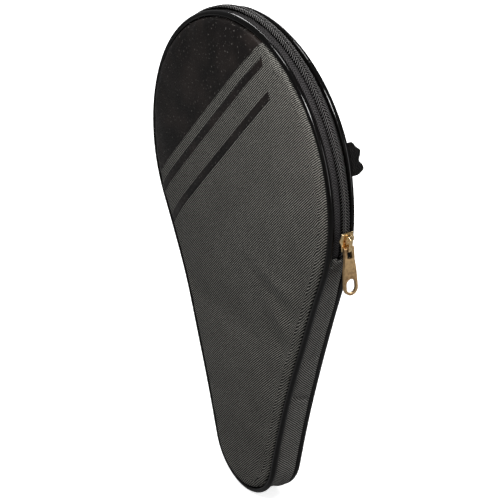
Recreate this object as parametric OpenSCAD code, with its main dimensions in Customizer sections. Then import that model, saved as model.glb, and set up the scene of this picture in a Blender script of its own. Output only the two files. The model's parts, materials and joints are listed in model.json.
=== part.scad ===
// A soft zipped case for a table-tennis bat: round head, slim handle end.
// X is the width, Y runs from the front face (-Y) to the back face (+Y), Z is up.
// The origin is the lowest point of the handle end, midway between the two seams.

/* [Case size] */
// Radius of the round head, measured on the side band
head_r = 90.4; // [88:0.2:94]
// Radius of the round handle end, measured on the side band
end_r = 30.3; // [28:0.1:34]
// Radius of the hollow curve between the head and the handle end
flank_r = 790; // [600:10:900]
// Distance between the centres of the head and of the handle end
centre_gap = 170.7; // [164:0.1:176]
// Distance between the centre lines of the front and the back piping
seam_gap = 15.2; // [15.2:0.2:20]

/* [Panels] */
// Thickness of the outer fabric
fabric_t = 0.8; // [0.5:0.1:1]
// Thickness of the foam padding behind the fabric
foam_t = 2.6; // [2:0.1:2.8]
// Thickness of the lining
lining_t = 0.4; // [0.2:0.1:0.5]
// Distance from the piping's centre line out to the panel's face
face_rise = 2.6; // [2.4:0.1:3]
// Width of the tape that binds the raw edges of a seam, inside the case
binding_w = 4; // [3:0.5:5]
// Thickness of that binding
binding_t = 1; // [0.6:0.1:1]

/* [Piping] */
// Outer radius of the piping in the seams
piping_r = 1.8; // [1.7:0.05:2.2]
// Thickness of the sleeve around the piping's cord
sleeve_t = 0.75; // [0.6:0.05:1]

/* [Side band] */
// Thickness of the fabric side band below the zip
band_t = 1.6; // [1:0.1:1.6]
// Thickness of the side band's lining
band_lining_t = 0.3; // [0.2:0.1:0.4]

/* [Zip] */
// Angle of the zip's lower ends below the head's centre
zip_drop = 15; // [12:0.5:20]
// Offset of the zip from the middle of the side band, towards the back
zip_y = 0.2; // [0:0.1:1.4]
// How far the zip's tape stands out over the seams' centre lines
zip_lift = 1.2; // [0:0.1:1.4]
// Thickness of the zip's tape
tape_t = 0.8; // [0.5:0.1:0.8]
// Half of the gap between the two halves of the zip
zip_half_gap = 0.9; // [0.85:0.05:1]
// Width of one half of the coil
coil_w = 1.7; // [1.5:0.1:2]
// Height of the coil over the tape
coil_h = 2.2; // [1.8:0.1:2.2]
// Distance from the end of the tape to the end of the coil
coil_inset = 1.6; // [1:0.2:3]
// Gap left in every piece along the line where the flap folds
fold_gap = 0.3; // [0.2:0.05:0.4]

/* [Slider] */
// Angle of the parked slider below the head's centre
slider_drop = 7.5; // [7:0.1:8]
// Length of the slider along the zip
slider_l = 11; // [10:0.2:11.4]
// Width of the slider at its shoulders
slider_w = 9.5; // [9:0.1:9.5]
// Thickness of the outer plate
plate_t = 1.3; // [1:0.1:1.4]
// Gap between the coil and the outer plate
plate_gap = 0.4; // [0.3:0.05:0.5]
// Gap between the tape and the inner plate
inner_gap = 1.8; // [1.8:0.1:2.2]
// Thickness of the inner plate
inner_plate_t = 0.9; // [0.7:0.1:1.1]
// Width of the inner plate
inner_plate_w = 6.4; // [5:0.2:6.4]
// Thickness of the post between the two plates
post_t = 1.4; // [1.2:0.1:1.4]
// Width of the arch that holds the puller
arch_w = 2.3; // [2:0.1:2.4]
// Clear height under the arch
arch_clear = 2.3; // [2.1:0.1:2.5]
// Thickness of the arch
arch_t = 1.15; // [0.9:0.05:1.4]

/* [Puller] */
// Length of the puller from its pivot to its tip
puller_l = 26.4; // [25:0.2:32]
// How far the parked puller leans out from straight down, in degrees
puller_lean = 4; // [0:0.5:6]
// Width of the puller at its rounded end
puller_w = 8.8; // [8.2:0.1:10]
// Width of the puller at its pivot
neck_w = 6.4; // [6.2:0.1:7]
// Thickness of the puller
puller_t = 1.6; // [1.2:0.1:1.7]
// Radius of the puller's crossbar
crossbar_r = 0.9; // [0.8:0.05:0.95]
// Width of the slot between the puller's two prongs
slot_w = 3.1; // [2.9:0.1:3.4]
// Length of that slot, measured from the pivot
slot_l = 5.6; // [5.2:0.1:6.4]
// Width of the hole near the tip
hole_w = 5.8; // [5:0.1:6.2]
// Length of the hole near the tip
hole_l = 7.8; // [7:0.1:8.6]
// Distance from the hole to the tip
tip_w = 1.4; // [1.2:0.1:2]

/* [Hang loop] */
// Angle of the hang loop above the head's centre
loop_angle = 19; // [12:1:30]
// Width of the loop's webbing, along the seam
loop_w = 18; // [14:1:22]
// Thickness of the webbing
webbing_t = 1; // [0.8:0.1:1]
// How far the loop stands out from its root
loop_reach = 9.4; // [7:0.2:11]
// Gap inside the loop
loop_gap = 1.2; // [1:0.1:1.4]

/* [Hidden] */
// Smallest gap left between two pieces that nearly touch
touch_gap = 0.05;
// Gap under the coil, where it lies on its tape
coil_gap = 0.02;
// Size of the blocks that cut a piece in two, larger than the case
reach = 500;
// The flanks' piping is this much slimmer, and runs this far into the piping it meets
flank_slim = 0.02;
flank_overlap = 0.5;
// Number of straight steps in a full circle of an outline
circle_steps = 120;
// Number of straight steps along one flank
flank_steps = 12;
// Number of straight steps around a small rounded corner
corner_steps = 8;
$fn = 96;

// Height of the handle end's centre and of the head's centre
end_z = end_r + piping_r;
head_z = end_z + centre_gap;
// Centre of the right flank's curve, from its distances to the two other centres
head_reach = head_r + flank_r;
end_reach = end_r + flank_r;
flank_drop = (head_reach * head_reach - end_reach * end_reach + centre_gap * centre_gap)
             / (2 * centre_gap);
flank_x = sqrt(head_reach * head_reach - flank_drop * flank_drop);
flank_z = head_z - flank_drop;
// Angles below the horizontal where the flank leaves the head and meets the end
head_turn = asin(flank_drop / head_reach);
end_turn = asin((flank_drop - centre_gap) / end_reach);

// Depths of the layers of a panel, out from the middle of the case
seam_y = seam_gap / 2;
face_y = seam_y + face_rise;
foam_y = face_y - fabric_t;
lining_y = foam_y - foam_t;
inside_y = lining_y - lining_t;
binding_y = inside_y - touch_gap;
band_y = seam_y - piping_r - touch_gap;
// Outline offsets of the panels' edge and of the seam binding
panel_edge = -piping_r - touch_gap;
binding_edge = -2;
// The piping's cord
cord_r = piping_r - sleeve_t;

// Height of the fold, and the angle that half the fold's gap takes up on the head
fold_z = head_z - head_r * sin(zip_drop);
gap_angle = fold_gap / 2 / head_r * 180 / PI;
coil_angle = coil_inset / head_r * 180 / PI;
zip_from = -zip_drop + gap_angle;
zip_to = 180 + zip_drop - gap_angle;
zip_r = head_r + zip_lift;
tape_in = zip_r - tape_t;
coil_out = zip_r + coil_h;

// Radial places of the slider's parts, out from the head's centre
plate_in = coil_out + plate_gap;
plate_out = plate_in + plate_t;
inner_out = tape_in - inner_gap;
inner_in = inner_out - inner_plate_t;
arch_in = plate_out + arch_clear;
arch_out = arch_in + arch_t;
// The arch along the zip: its two ends, and the pivot inside its lower end
arch_low = -slider_l / 2 + 0.4;
arch_high = slider_l / 2 - 1;
arch_leg = 1;
arch_round = 1.6;
pivot_r = plate_out + arch_clear / 2;
pivot_t = arch_low + arch_leg + crossbar_r + 0.1;
post_low = -1;
post_high = 4.6;

// The hang loop's root, over the back piping
loop_root_r = head_r - 0.4;
stub_from = seam_y + piping_r + touch_gap;
stub_to = stub_from + 1.25;
loop_hinge_y = stub_to + webbing_t + touch_gap;

// Points along an arc, without its last point
function arc(x, z, r, from, to, steps) =
    [for (i = [0:steps - 1]) let (a = from + (to - from) * i / steps)
        [x + r * cos(a), z + r * sin(a)]];

// Number of steps for an arc of so many degrees
function steps_for(angle) = max(2, round(circle_steps * abs(angle) / 360));

// The left flank from the head down to the end, and the right flank back up
function left_flank(offset) =
    arc(-flank_x, flank_z, flank_r - offset, head_turn, end_turn, flank_steps);
function right_flank(offset) =
    arc(flank_x, flank_z, flank_r - offset, 180 - end_turn, 180 - head_turn, flank_steps);

// The handle end, from its left flank around the bottom to its right flank
function end_arc(offset) =
    arc(0, end_z, end_r + offset, 180 + end_turn, 360 - end_turn,
        steps_for(180 - 2 * end_turn));

// The whole outline, moved out by an offset
function outline(offset) = concat(
    arc(0, head_z, head_r + offset, -head_turn, 180 + head_turn,
        steps_for(180 + 2 * head_turn)),
    left_flank(offset), end_arc(offset), right_flank(offset));

// The part of the outline below the zip, from its left end to its right end
function low_path(offset) = concat(
    arc(0, head_z, head_r + offset, 180 + zip_drop + gap_angle, 180 + head_turn, 4),
    left_flank(offset), end_arc(offset), right_flank(offset),
    arc(0, head_z, head_r + offset, -head_turn, -zip_drop - gap_angle, 4),
    [[(head_r + offset) * cos(zip_drop + gap_angle),
      head_z - (head_r + offset) * sin(zip_drop + gap_angle)]]);

function reversed(points) = [for (i = [len(points) - 1:-1:0]) points[i]];

// A rectangle with all four corners rounded
function rounded_box(x0, x1, z0, z1, r) = concat(
    arc(x1 - r, z1 - r, r, 0, 90, corner_steps), [[x1 - r, z1]],
    arc(x0 + r, z1 - r, r, 90, 180, corner_steps), [[x0, z1 - r]],
    arc(x0 + r, z0 + r, r, 180, 270, corner_steps), [[x0 + r, z0]],
    arc(x1 - r, z0 + r, r, 270, 360, corner_steps), [[x1, z0 + r]]);

// Stands a flat shape up in the XZ plane, between two depths
module slab(y0, y1) {
    translate([0, y1, 0]) rotate([90, 0, 0]) linear_extrude(height = y1 - y0) children();
}

module flat_outline(offset) { polygon(outline(offset)); }

// The parts of a flat shape above and below the fold
module above_fold() {
    intersection() {
        children();
        translate([-reach / 2, fold_z + fold_gap / 2]) square(reach);
    }
}
module below_fold() {
    intersection() {
        children();
        translate([-reach / 2, fold_z - fold_gap / 2 - reach]) square(reach);
    }
}

// The seam binding's flat ring
module binding_ring() {
    difference() {
        flat_outline(binding_edge);
        flat_outline(binding_edge - binding_w);
    }
}

// Turns a section about an axis along Y; the section's X is the radius and its Y is -Y
module turn_about(x, z, from, to) {
    translate([x, 0, z]) rotate([90, 0, 0]) rotate([0, 0, from])
        rotate_extrude(angle = to - from) children();
}

module band_section(r0, r1, y0, y1) { translate([r0, -y1]) square([r1 - r0, y1 - y0]); }

module round_section(r, y, section_r) { translate([r, -y]) circle(section_r); }

module head_cord(y, r, from, to) {
    turn_about(0, head_z, from, to) round_section(head_r, y, r);
}

// A cord along both flanks and around the handle end
module low_cord(y, r) {
    extra = flank_overlap / flank_r * 180 / PI;
    turn_about(-flank_x, flank_z, end_turn - extra, head_turn + extra)
        round_section(flank_r, y, r - flank_slim);
    turn_about(0, end_z, 180 + end_turn, 360 - end_turn)
        round_section(end_r, y, r);
    turn_about(flank_x, flank_z, 180 - head_turn - extra, 180 - end_turn + extra)
        round_section(flank_r, y, r - flank_slim);
}

// The closed ring of cord in the back seam
module cord_ring(y, r) {
    head_cord(y, r, -head_turn, 180 + head_turn);
    low_cord(y, r);
}

// The cord below the fold; trim lengthens (or shortens) its two ends, in degrees
module cord_below_fold(y, r, trim) {
    head_cord(y, r, -head_turn, -zip_drop - gap_angle + trim);
    head_cord(y, r, 180 + zip_drop + gap_angle - trim, 180 + head_turn);
    low_cord(y, r);
}

// Back half of the case
module back_panel() {
    color("#33363a") slab(foam_y, face_y) flat_outline(panel_edge);
}
module back_foam() {
    color("#6b6b6b") slab(lining_y, foam_y) flat_outline(panel_edge);
}
module back_lining() {
    color("#1f2022") slab(inside_y, lining_y) flat_outline(panel_edge);
}
module back_piping() {
    color("#101011") difference() {
        cord_ring(seam_y, piping_r);
        cord_ring(seam_y, cord_r + touch_gap);
    }
}
module back_piping_cord() {
    color("#d8d4c8") cord_ring(seam_y, cord_r);
}
module back_seam_binding() {
    color("#17181a") slab(binding_y - binding_t, binding_y) binding_ring();
}

// Side band below the zip
module side_band() {
    color("#4b4e50") slab(-band_y, band_y)
        polygon(concat(low_path(0), reversed(low_path(-band_t))));
}
module side_band_lining() {
    color("#1f2022") slab(-band_y, band_y)
        polygon(concat(low_path(-band_t - touch_gap),
                       reversed(low_path(-band_t - touch_gap - band_lining_t))));
}

// Front of the case below the fold
module lower_front_panel() {
    color("#3b3e3c") slab(-face_y, -foam_y) below_fold() flat_outline(panel_edge);
}
module lower_front_foam() {
    color("#6b6b6b") slab(-foam_y, -lining_y) below_fold() flat_outline(panel_edge);
}
module lower_front_lining() {
    color("#1f2022") slab(-lining_y, -inside_y) below_fold() flat_outline(panel_edge);
}
module lower_front_piping() {
    color("#101011") difference() {
        cord_below_fold(-seam_y, piping_r, 0);
        cord_below_fold(-seam_y, cord_r + touch_gap, 1);
    }
}
module lower_front_piping_cord() {
    color("#d8d4c8") cord_below_fold(-seam_y, cord_r, 0);
}
module lower_front_seam_binding() {
    color("#17181a") slab(-binding_y, -binding_y + binding_t) below_fold() binding_ring();
}

// Flap: the front of the case above the fold
module flap_front_panel() {
    color("#3b3e3c") slab(-face_y, -foam_y) above_fold() flat_outline(panel_edge);
}
module flap_foam() {
    color("#6b6b6b") slab(-foam_y, -lining_y) above_fold() flat_outline(panel_edge);
}
module flap_lining() {
    color("#1f2022") slab(-lining_y, -inside_y) above_fold() flat_outline(panel_edge);
}
module flap_piping() {
    color("#101011") difference() {
        head_cord(-seam_y, piping_r, zip_from, zip_to);
        head_cord(-seam_y, cord_r + touch_gap, zip_from - 1, zip_to + 1);
    }
}
module flap_piping_cord() {
    color("#d8d4c8") head_cord(-seam_y, cord_r, zip_from, zip_to);
}
module flap_seam_binding() {
    color("#17181a") slab(-binding_y, -binding_y + binding_t) above_fold() binding_ring();
}

// Zip: two tapes, each with half of the coil
module zip_tape(y0, y1) {
    color("#1b1c1e") turn_about(0, head_z, zip_from, zip_to)
        band_section(tape_in, zip_r, y0, y1);
}
module zip_coil(y0, y1) {
    color("#141416") turn_about(0, head_z, zip_from + coil_angle, zip_to - coil_angle)
        band_section(zip_r + coil_gap, coil_out, y0, y1);
}
module zip_tape_back() { zip_tape(zip_y + zip_half_gap, band_y); }
module zip_tape_front() { zip_tape(-band_y, zip_y - zip_half_gap); }
module zip_coil_back() { zip_coil(zip_y + zip_half_gap, zip_y + zip_half_gap + coil_w); }
module zip_coil_front() { zip_coil(zip_y - zip_half_gap - coil_w, zip_y - zip_half_gap); }

// Places a shape on the head: its X points outwards and its Z along the seam
module on_head(angle, y) {
    translate([0, y, head_z]) rotate([0, -angle, 0]) children();
}

// Stands a flat shape on the head, between two radii; its X is Y and its Y runs along the zip
module radial_plate(r0, r1) {
    translate([r0, 0, 0]) rotate([90, 0, 90]) linear_extrude(height = r1 - r0) children();
}

// Stands a flat shape across the head; its X is the radius and its Y runs along the zip
module cross_plate(width) {
    translate([0, width / 2, 0]) rotate([90, 0, 0]) linear_extrude(height = width) children();
}

// Slider: half of its plate's outline, as width and length fractions, mirrored
module slider_outline() {
    half_w = slider_w / 2;
    half_l = slider_l / 2;
    right = [[0.5, -1], [0.66, -0.9], [0.78, -0.2], [0.98, 0.12], [1, 0.24],
             [0.98, 0.36], [0.86, 0.5], [0.84, 0.86], [0.72, 1]];
    polygon(concat([for (p = right) [p[0] * half_w, p[1] * half_l]],
                   [for (p = reversed(right)) [-p[0] * half_w, p[1] * half_l]]));
}
module slider_arch() {
    cross_plate(arch_w) difference() {
        polygon(rounded_box(plate_in + plate_t / 2, arch_out, arch_low, arch_high, arch_round));
        polygon(rounded_box(plate_out, arch_in, arch_low + arch_leg, arch_high - arch_leg, 0.5));
    }
}
module slider_body() {
    color("#c9a04c") on_head(-slider_drop, zip_y) {
        radial_plate(plate_in, plate_out) slider_outline();
        radial_plate(inner_in, inner_out)
            polygon(rounded_box(-inner_plate_w / 2, inner_plate_w / 2,
                                -slider_l / 2, slider_l / 2, 1));
        radial_plate(inner_out - inner_plate_t / 2, plate_in + plate_t / 2)
            polygon(rounded_box(-post_t / 2, post_t / 2, post_low, post_high, post_t / 3));
        slider_arch();
    }
}

// Puller: a flat blade that hangs straight down from its crossbar
module puller_outline() {
    tip_r = puller_w / 2;
    shoulder = puller_l * 0.45;
    polygon(concat(
        [[-neck_w / 2, 0], [-neck_w / 2, -slot_l - 1], [-tip_r * 0.9, -shoulder]],
        arc(0, -puller_l + tip_r, tip_r, 180, 360, 4 * corner_steps),
        [[tip_r, -puller_l + tip_r], [tip_r * 0.9, -shoulder],
         [neck_w / 2, -slot_l - 1], [neck_w / 2, 0]]));
}
module puller_hole() {
    hole_r = hole_w / 2;
    low = -puller_l + tip_w + hole_r;
    high = low + hole_l - hole_w;
    for (z = [low, high])
        translate([0, 0, z]) rotate([0, 90, 0])
            cylinder(h = 2 * puller_t, r = hole_r, center = true);
    translate([-puller_t, -hole_r, low]) cube([2 * puller_t, hole_w, high - low]);
}
module puller() {
    color("#b39468") on_head(-slider_drop, zip_y) translate([pivot_r, 0, pivot_t])
        rotate([0, -slider_drop - puller_lean, 0]) {
            rotate([90, 0, 0]) cylinder(h = neck_w, r = crossbar_r, center = true);
            difference() {
                radial_plate(-puller_t / 2, puller_t / 2) puller_outline();
                puller_hole();
                translate([-puller_t, -slot_w / 2, -slot_l])
                    cube([2 * puller_t, slot_w, slot_l - crossbar_r / 2]);
                translate([-puller_t, -slot_w / 2, -crossbar_r])
                    cube([2 * puller_t, slot_w, 2 * crossbar_r]);
            }
        }
}

// Hang loop: two sewn-in ends, and the folded webbing that swings on them
module loop_ends() {
    color("#17181a") on_head(loop_angle, 0)
        translate([loop_root_r - webbing_t, stub_from, -loop_w / 2])
            cube([2 * webbing_t, stub_to - stub_from, loop_w]);
}
module loop_outline() {
    half_t = loop_gap / 2 + webbing_t;
    neck = 2.5;
    top = loop_reach - half_t;
    difference() {
        polygon(concat(
            arc(0, 0, webbing_t, 180, 360, 2 * corner_steps), [[webbing_t, 0], [half_t, neck]],
            arc(0, top, half_t, 0, 180, 2 * corner_steps), [[-half_t, top], [-half_t, neck]]));
        polygon(concat([[0, neck - 1], [loop_gap / 2, neck + 0.5]],
            arc(0, top, loop_gap / 2, 0, 180, 2 * corner_steps),
            [[-loop_gap / 2, top], [-loop_gap / 2, neck + 0.5]]));
    }
}
module hang_loop() {
    color("#17181a") on_head(loop_angle, 0)
        translate([loop_root_r, loop_hinge_y, -loop_w / 2])
            linear_extrude(height = loop_w) loop_outline();
}

back_panel();
back_foam();
back_lining();
back_piping();
back_piping_cord();
back_seam_binding();
side_band();
side_band_lining();
lower_front_panel();
lower_front_foam();
lower_front_lining();
lower_front_piping();
lower_front_piping_cord();
lower_front_seam_binding();
zip_tape_back();
zip_coil_back();
loop_ends();
flap_front_panel();
flap_foam();
flap_lining();
flap_piping();
flap_piping_cord();
flap_seam_binding();
zip_tape_front();
zip_coil_front();
slider_body();
puller();
hang_loop();
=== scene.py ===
import json
import math

import bmesh
import bpy
import numpy as np
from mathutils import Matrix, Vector, geometry, noise


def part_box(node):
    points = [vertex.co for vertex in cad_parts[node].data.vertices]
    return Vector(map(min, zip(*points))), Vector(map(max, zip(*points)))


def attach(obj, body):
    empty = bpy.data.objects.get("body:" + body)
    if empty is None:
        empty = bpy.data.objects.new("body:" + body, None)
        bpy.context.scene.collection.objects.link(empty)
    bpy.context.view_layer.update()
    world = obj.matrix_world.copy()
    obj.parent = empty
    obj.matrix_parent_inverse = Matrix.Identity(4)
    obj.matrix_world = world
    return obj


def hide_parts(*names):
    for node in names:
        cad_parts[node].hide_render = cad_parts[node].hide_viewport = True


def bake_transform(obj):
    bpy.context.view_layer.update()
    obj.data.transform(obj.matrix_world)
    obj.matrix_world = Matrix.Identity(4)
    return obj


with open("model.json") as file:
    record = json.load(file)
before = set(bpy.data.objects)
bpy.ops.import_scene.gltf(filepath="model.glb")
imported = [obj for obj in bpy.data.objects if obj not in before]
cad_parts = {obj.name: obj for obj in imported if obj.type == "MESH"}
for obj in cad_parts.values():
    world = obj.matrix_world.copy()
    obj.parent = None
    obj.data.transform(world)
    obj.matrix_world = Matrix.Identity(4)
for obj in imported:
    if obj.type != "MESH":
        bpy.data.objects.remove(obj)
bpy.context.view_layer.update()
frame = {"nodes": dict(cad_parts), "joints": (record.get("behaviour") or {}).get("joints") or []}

MM = 0.001
scene = bpy.context.scene


# -------- sizes, in millimetres

def joint_place(name):
    joint = next(j for j in frame["joints"] if j["name"] == name)
    return np.array(joint["pos_m"]) / MM


def box_mm(node):
    low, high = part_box(node)
    return np.array(low) / MM, np.array(high) / MM


HEAD_Z = joint_place("slider_travel")[2]
FOLD_Z = joint_place("flap_open")[2]
FACE_Y = -joint_place("flap_open")[1]
piping_low, piping_high = box_mm("back_piping")
PIPING_R = (piping_high[1] - piping_low[1]) / 2
SEAM_Y = (piping_high[1] + piping_low[1]) / 2
HEAD_R = piping_high[0] - PIPING_R
END_R = 30.3
FLANK_R = 790.0
END_Z = END_R + PIPING_R
PANEL_EDGE = -(PIPING_R + 0.05)
FABRIC_T = 0.7
FOAM_IN_Y = box_mm("back_foam")[0][1]
LINING_T = 0.3
CORD_R = 1.3
slider_low, slider_high = box_mm("slider_body")
ZIP_Y = (slider_low[1] + slider_high[1]) / 2
ZIP_R = box_mm("zip_tape_back")[1][2] - HEAD_Z
ZIP_LIFT = ZIP_R - HEAD_R
ZIP_ANGLE = math.asin((HEAD_Z - FOLD_Z) / HEAD_R)
SLIDER_ANGLE = math.radians(-7.5)
# How far the soft case pushes its front and its back seam from the middle, at some heights
SEAM_DEPTHS = ((0, 8.4, 8.5), (32, 8.3, 8.9), (80, 7.7, 9.1), (118, 6.4, 8.6), (150, 6.9, 7.5),
               (185, 7.3, 5.4), (215, 7.3, 6.0), (240, 7.1, 7.6), (265, 7.1, 7.4), (295, 7.0, 7.0))


# -------- the outline

CENTRE_GAP = HEAD_Z - END_Z
head_reach = HEAD_R + FLANK_R
end_reach = END_R + FLANK_R
FLANK_DROP = (head_reach ** 2 - end_reach ** 2 + CENTRE_GAP ** 2) / (2 * CENTRE_GAP)
FLANK_X = math.sqrt(head_reach ** 2 - FLANK_DROP ** 2)
FLANK_Z = HEAD_Z - FLANK_DROP
HEAD_TURN = math.asin(FLANK_DROP / head_reach)
END_TURN = math.asin((FLANK_DROP - CENTRE_GAP) / end_reach)
# Each arc: centre x and z, radius, first and last angle, and the outward side of its circle
ARCS = (
    (0.0, HEAD_Z, HEAD_R, -HEAD_TURN, math.pi + HEAD_TURN, 1.0),
    (-FLANK_X, FLANK_Z, FLANK_R, HEAD_TURN, END_TURN, -1.0),
    (0.0, END_Z, END_R, math.pi + END_TURN, 2 * math.pi - END_TURN, 1.0),
    (FLANK_X, FLANK_Z, FLANK_R, math.pi - END_TURN, math.pi - HEAD_TURN, -1.0),
)
ARC_LENGTHS = np.array([a[2] * abs(a[4] - a[3]) for a in ARCS])
ARC_STARTS = np.concatenate([[0.0], np.cumsum(ARC_LENGTHS)])
RIM_LENGTH = ARC_STARTS[-1]


def rim(s):
    """Points of the outline at distances s along it, and the outward directions there."""
    s = np.mod(np.asarray(s, float), RIM_LENGTH)
    which = np.clip(np.searchsorted(ARC_STARTS, s, side="right") - 1, 0, len(ARCS) - 1)
    arcs = np.array(ARCS)[which]
    share = (s - ARC_STARTS[which]) / ARC_LENGTHS[which]
    angle = arcs[:, 3] + share * (arcs[:, 4] - arcs[:, 3])
    point = arcs[:, :2] + arcs[:, 2:3] * np.stack([np.cos(angle), np.sin(angle)], 1)
    outward = arcs[:, 5:6] * np.stack([np.cos(angle), np.sin(angle)], 1)
    return point, outward


def around_rim(count):
    """Evenly spaced distances all the way around the outline."""
    return np.arange(count) * RIM_LENGTH / count


def waves_around(s, count):
    """A sine that repeats a number of times around the outline."""
    return np.sin(s * 2 * math.pi / (RIM_LENGTH / count))


def head_s(angle):
    """The distance along the outline of a place on the head, from its angle at the centre."""
    return HEAD_R * (angle + HEAD_TURN)


ZIP_START = head_s(-ZIP_ANGLE)
ZIP_END = head_s(math.pi + ZIP_ANGLE)


def right_flank_s(height):
    """The distance along the outline of the place on the right flank at a height."""
    s = np.linspace(ARC_STARTS[3], RIM_LENGTH, 400)
    return s[np.argmin(np.abs(rim(s)[0][:, 1] - height))]


def seam_depth(height, side):
    """The seam's distance from the middle at a height, a smooth curve through SEAM_DEPTHS."""
    table = np.array(SEAM_DEPTHS, float)
    fine = np.arange(-40, 340, 2.0)
    depth = np.interp(fine, table[:, 0], table[:, 1 if side < 0 else 2])
    soft = np.exp(-np.linspace(-2, 2, 21) ** 2)
    depth = np.convolve(np.pad(depth, 10, mode="edge"), soft / soft.sum(), mode="valid")
    return np.interp(height, fine, depth)


def squeeze(points):
    """Moves points from the even seams of the CAD to the seams of the soft case."""
    points = np.array(points, float)
    depth = points[..., 1]
    share = np.clip(np.abs(depth) / SEAM_Y, 0, 1)
    front = -(seam_depth(points[..., 2], -1) - SEAM_Y)
    back = seam_depth(points[..., 2], 1) - SEAM_Y
    points[..., 1] = depth + share * np.where(depth < 0, front, back)
    return points


def smooth_step(x):
    x = np.clip(x, 0, 1)
    return x * x * (3 - 2 * x)


def soft_noise(points, scale, seed=0.0):
    """A smooth random height from -1 to 1 at each point; points in millimetres."""
    return np.array([noise.noise(Vector(p) / scale + Vector((seed, seed * 0.7, -seed)))
                     for p in np.asarray(points, float).reshape(-1, 3)])


# -------- mesh making

def linked(name, data):
    """A new object in the scene."""
    item = bpy.data.objects.new(name, data)
    scene.collection.objects.link(item)
    return item


def mesh_object(name, points, faces, weave=None):
    """A smooth-shaded object from points in millimetres; weave is each point's place on its cloth."""
    mesh = bpy.data.meshes.new(name)
    mesh.from_pydata((np.asarray(points, float).reshape(-1, 3) * MM).tolist(), [], faces)
    if weave is None:
        weave = points
    layer = mesh.attributes.new("weave", "FLOAT_VECTOR", "POINT")
    layer.data.foreach_set("vector", np.asarray(weave, np.float32).reshape(-1))
    mesh.shade_smooth()
    return linked(name, mesh)


def outward_normals(piece):
    mesh = bmesh.new()
    mesh.from_mesh(piece.data)
    bmesh.ops.recalc_face_normals(mesh, faces=mesh.faces)
    mesh.to_mesh(piece.data)
    mesh.free()
    return piece


def net_faces(rows, columns, ring_path=False):
    """The faces between rows of points. Each row is a ring; a ring path joins the last to the first."""
    faces = []
    for i in range(rows if ring_path else rows - 1):
        for j in range(columns):
            k, m = (i + 1) % rows, (j + 1) % columns
            faces.append((i * columns + j, i * columns + m, k * columns + m, k * columns + j))
    return faces


def grid_piece(name, grid, weave, ring_path=False):
    """A closed mesh from a grid of points: rows run along a path, columns around a section."""
    rows, columns = grid.shape[:2]
    faces = net_faces(rows, columns, ring_path)
    if not ring_path:
        faces.append(tuple(range(columns)))
        faces.append(tuple((rows - 1) * columns + j for j in reversed(range(columns))))
    return outward_normals(mesh_object(name, grid, faces, weave))


def rim_sweep(name, s, section, ring_path=False):
    """Sweeps a closed section along the outline. The section holds offsets and depths."""
    s = np.asarray(s, float)
    section = np.broadcast_to(section, (len(s),) + np.shape(section)[-2:])
    point, outward = rim(s)
    offset, depth = section[:, :, 0], section[:, :, 1]
    grid = np.stack([point[:, None, 0] + offset * outward[:, None, 0], depth,
                     point[:, None, 1] + offset * outward[:, None, 1]], 2)
    step = np.linalg.norm(np.diff(section, axis=1, prepend=section[:, :1]), axis=2)
    across = np.cumsum(step, axis=1)
    weave = np.stack(np.broadcast_arrays(s[:, None], across, 0.0), 2)
    return grid_piece(name, squeeze(grid), weave, ring_path)


def circle(sides):
    """Evenly spaced angles around a circle."""
    return np.arange(sides) * 2 * math.pi / sides


def tube(name, path, side, radius, sides):
    """A round wire along a path; side is a direction that the path never runs along."""
    forward = np.gradient(path, axis=0)
    forward /= np.linalg.norm(forward, axis=1, keepdims=True)
    first = np.cross(forward, side)
    first /= np.linalg.norm(first, axis=1, keepdims=True)
    second = np.cross(forward, first)
    angle = circle(sides)[None, :, None]
    grid = path[:, None] + radius * (np.cos(angle) * first[:, None] + np.sin(angle) * second[:, None])
    return grid_piece(name, grid, grid)


def joined(name, pieces):
    """Several pieces made into one object."""
    bpy.ops.object.select_all(action="DESELECT")
    for piece in pieces:
        piece.select_set(True)
    bpy.context.view_layer.objects.active = pieces[0]
    bpy.ops.object.join()
    pieces[0].name = name
    return pieces[0]


def apply_modifiers(piece):
    graph = bpy.context.evaluated_depsgraph_get()
    mesh = bpy.data.meshes.new_from_object(piece.evaluated_get(graph))
    piece.modifiers.clear()
    piece.data = mesh
    return piece


def subdivided(piece):
    piece.modifiers.new("subdivision", "SUBSURF").levels = 1
    return apply_modifiers(piece)


def thickened(piece, thickness):
    """Gives an open sheet a thickness, inwards from its face, and closes its edge."""
    modifier = piece.modifiers.new("thickness", "SOLIDIFY")
    modifier.thickness = thickness * MM
    modifier.offset = -1
    return apply_modifiers(piece)


def points_of(piece):
    points = np.zeros(len(piece.data.vertices) * 3)
    piece.data.vertices.foreach_get("co", points)
    return points.reshape(-1, 3) / MM


def move_points(piece, points):
    piece.data.vertices.foreach_set("co", (np.asarray(points) * MM).reshape(-1))
    piece.data.update()


# -------- panels

COVER_SPACING = 4.0
LINING_SPACING = 5.0
# The panel's first rings of points, by their depth in from its edge
EDGE_DEPTHS = (0.0, 0.35, 0.8, 1.4, 2.2, 3.2, 4.6)
# The rounded roll of a panel's face into its seam
ROLL_W = 3.0
ROLL_H = 2.0
# How far the padding crowns the face, and how far in from the edge it has risen
CROWN_H = 1.0
CROWN_W = 34


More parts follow.
